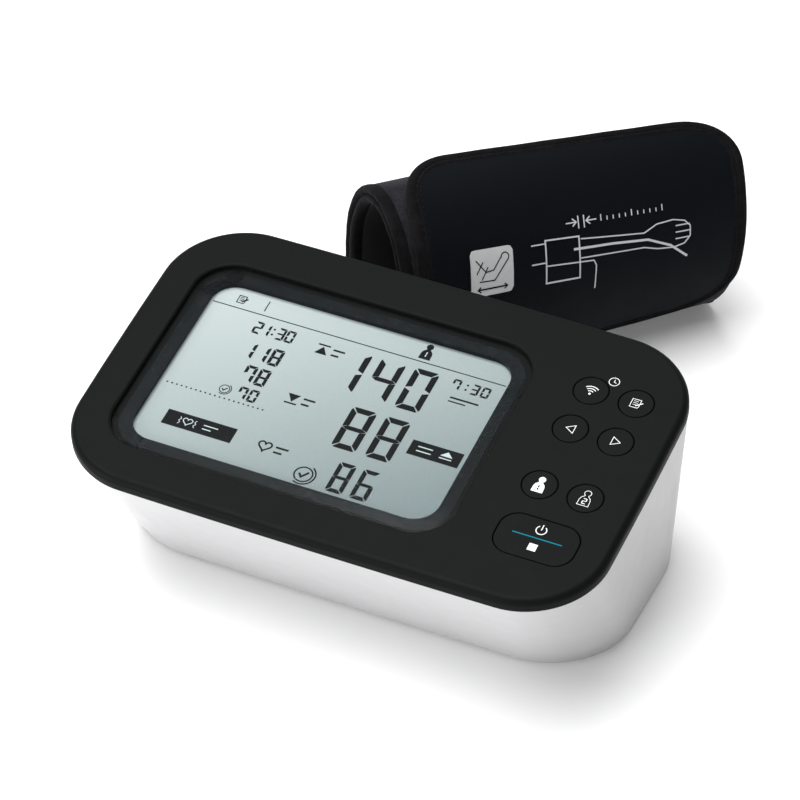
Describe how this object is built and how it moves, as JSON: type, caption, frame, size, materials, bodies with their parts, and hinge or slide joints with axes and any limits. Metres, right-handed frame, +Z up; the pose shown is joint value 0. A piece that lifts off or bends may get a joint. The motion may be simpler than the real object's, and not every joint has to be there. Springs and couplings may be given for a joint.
{
  "type": "blood pressure monitor with arm cuff",
  "caption": "Table-top blood pressure monitor with a tilted display and push buttons, and its rolled fabric arm cuff lying behind it.",
  "frame": {"origin": "on the table, under the middle of the box round the console and the cuff", "axes": "+X to the right along the console, +Y towards the cuff behind it, +Z up"},
  "size_m": [0.191, 0.263, 0.088],
  "materials": {
    "housing_white": "satin",
    "cover_black": "fine matte",
    "window_clear": "polished",
    "mask_black": "gloss",
    "lcd_grey": "semi gloss",
    "backlight_white": "satin",
    "carrier_white": "satin",
    "strip_rubber": "matte",
    "board_green": "solder mask",
    "chip_black": "matte",
    "switch_dark": "matte",
    "module_blue": "solder mask",
    "sensor_grey": "matte",
    "button_black": "fine matte",
    "tray_dark": "matte",
    "battery_gold": "foil",
    "contact_steel": "plated",
    "motor_steel": "plated",
    "magnet_grey": "matte",
    "rotor_copper": "wound",
    "pump_cream": "matte",
    "cradle_rubber": "matte",
    "valve_blue": "satin",
    "plunger_steel": "ground",
    "manifold_grey": "matte",
    "tube_rubber": "matte",
    "jack_grey": "satin",
    "power_black": "matte",
    "foot_rubber": "matte",
    "screw_steel": "plated",
    "pile_fabric": "brushed loop pile",
    "curler_plastic": "satin",
    "bladder_rubber": "satin",
    "lining_fabric": "smooth woven",
    "tape_fabric": "brushed tape",
    "port_black": "satin",
    "nylon_black": "smooth coated woven",
    "padding_foam": "foam",
    "hook_black": "hook tape",
    "patch_grey": "printed"
  },
  "bodies": {
    "console": {"lower_housing": "housing_white", "front_cover": "cover_black", "display_window": "window_clear", "display_mask": "mask_black", "lcd_glass": "lcd_grey", "backlight_panel": "backlight_white", "lcd_carrier": "carrier_white", "lcd_contact_strips": "strip_rubber", "main_board": "board_green", "control_chips": "chip_black", "button_switches": "switch_dark", "wireless_module": "module_blue", "buzzer": "chip_black", "pressure_sensor": "sensor_grey", "battery_tray": "tray_dark", "batteries": "battery_gold", "battery_contacts": "contact_steel", "pump_motor_case": "motor_steel", "motor_magnets": "magnet_grey", "pump_head": "pump_cream", "pump_cradle": "cradle_rubber", "exhaust_valve": "valve_blue", "air_manifold": "manifold_grey", "air_tubes": "tube_rubber", "air_jack": "jack_grey", "power_jack": "power_black", "rubber_feet": "foot_rubber", "case_screws": "screw_steel", "board_screws": "screw_steel"},
    "user_one_button": {"user_one_button": "button_black"},
    "user_two_button": {"user_two_button": "button_black"},
    "back_button": {"back_button": "button_black"},
    "forward_button": {"forward_button": "button_black"},
    "wireless_button": {"wireless_button": "button_black"},
    "memory_button": {"memory_button": "button_black"},
    "start_button": {"start_button": "button_black"},
    "battery_cover": {"battery_cover": "housing_white"},
    "motor_rotor": {"motor_rotor": "rotor_copper"},
    "valve_plunger": {"valve_plunger": "plunger_steel"},
    "cuff": {"cuff_outer_cover": "pile_fabric", "cuff_curler": "curler_plastic", "cuff_bladder": "bladder_rubber", "cuff_inner_cover": "lining_fabric", "cuff_binding": "tape_fabric", "cuff_air_port": "port_black"},
    "cuff_flap": {"flap_face": "nylon_black", "flap_padding": "padding_foam", "flap_hook_strip": "hook_black", "flap_binding": "tape_fabric", "size_patch": "patch_grey"},
    "flap_tip": {"tip_face": "nylon_black", "tip_padding": "padding_foam", "tip_hook_strip": "hook_black", "tip_binding": "tape_fabric"}
  },
  "joints": [
    {"name": "user_one_press", "type": "slide", "parent": "console", "child": "user_one_button", "axis": [0, 0.1564, -0.9877], "range_m": [0, 0.0008], "stiffness_N_per_m": 1500, "springref_m": -0.0003},
    {"name": "user_two_press", "type": "slide", "parent": "console", "child": "user_two_button", "axis": [0, 0.1564, -0.9877], "range_m": [0, 0.0008], "stiffness_N_per_m": 1500, "springref_m": -0.0003},
    {"name": "back_press", "type": "slide", "parent": "console", "child": "back_button", "axis": [0, 0.1564, -0.9877], "range_m": [0, 0.0008], "stiffness_N_per_m": 1500, "springref_m": -0.0003},
    {"name": "forward_press", "type": "slide", "parent": "console", "child": "forward_button", "axis": [0, 0.1564, -0.9877], "range_m": [0, 0.0008], "stiffness_N_per_m": 1500, "springref_m": -0.0003},
    {"name": "wireless_press", "type": "slide", "parent": "console", "child": "wireless_button", "axis": [0, 0.1564, -0.9877], "range_m": [0, 0.0008], "stiffness_N_per_m": 1500, "springref_m": -0.0003},
    {"name": "memory_press", "type": "slide", "parent": "console", "child": "memory_button", "axis": [0, 0.1564, -0.9877], "range_m": [0, 0.0008], "stiffness_N_per_m": 1500, "springref_m": -0.0003},
    {"name": "start_press", "type": "slide", "parent": "console", "child": "start_button", "axis": [0, 0.1564, -0.9877], "range_m": [0, 0.0008], "stiffness_N_per_m": 1500, "springref_m": -0.0003},
    {"name": "battery_cover_slide", "type": "slide", "parent": "console", "child": "battery_cover", "axis": [-1, 0, 0], "range_m": [0, 0.073]},
    {"name": "motor_spin", "type": "hinge", "parent": "console", "child": "motor_rotor", "pos_m": [0.033, -0.05123, 0.024], "axis": [1, 0, 0], "continuous": true},
    {"name": "valve_stroke", "type": "slide", "parent": "console", "child": "valve_plunger", "axis": [0, -1, 0], "range_m": [0, 0.0015], "stiffness_N_per_m": 300, "springref_m": -0.0005},
    {"name": "cuff_lift", "type": "slide", "parent": "console", "child": "cuff", "axis": [0, 0, 1], "range_m": [0, 0.15]},
    {"name": "flap_open", "type": "hinge", "parent": "cuff", "child": "cuff_flap", "pos_m": [-0.03041, 0.00727, 0.00533], "axis": [0.6633, 0.7484, -0.0028], "range_deg": [0, 10], "stiffness_Nm_per_rad": 0.15, "springref_deg": -8.59},
    {"name": "tip_peel", "type": "hinge", "parent": "cuff_flap", "child": "flap_tip", "pos_m": [-0.02675, 0.01318, 0.08112], "axis": [0.6954, 0.7125, -0.0935], "range_deg": [0, 60], "stiffness_Nm_per_rad": 0.02, "springref_deg": -11.46}
  ]
}
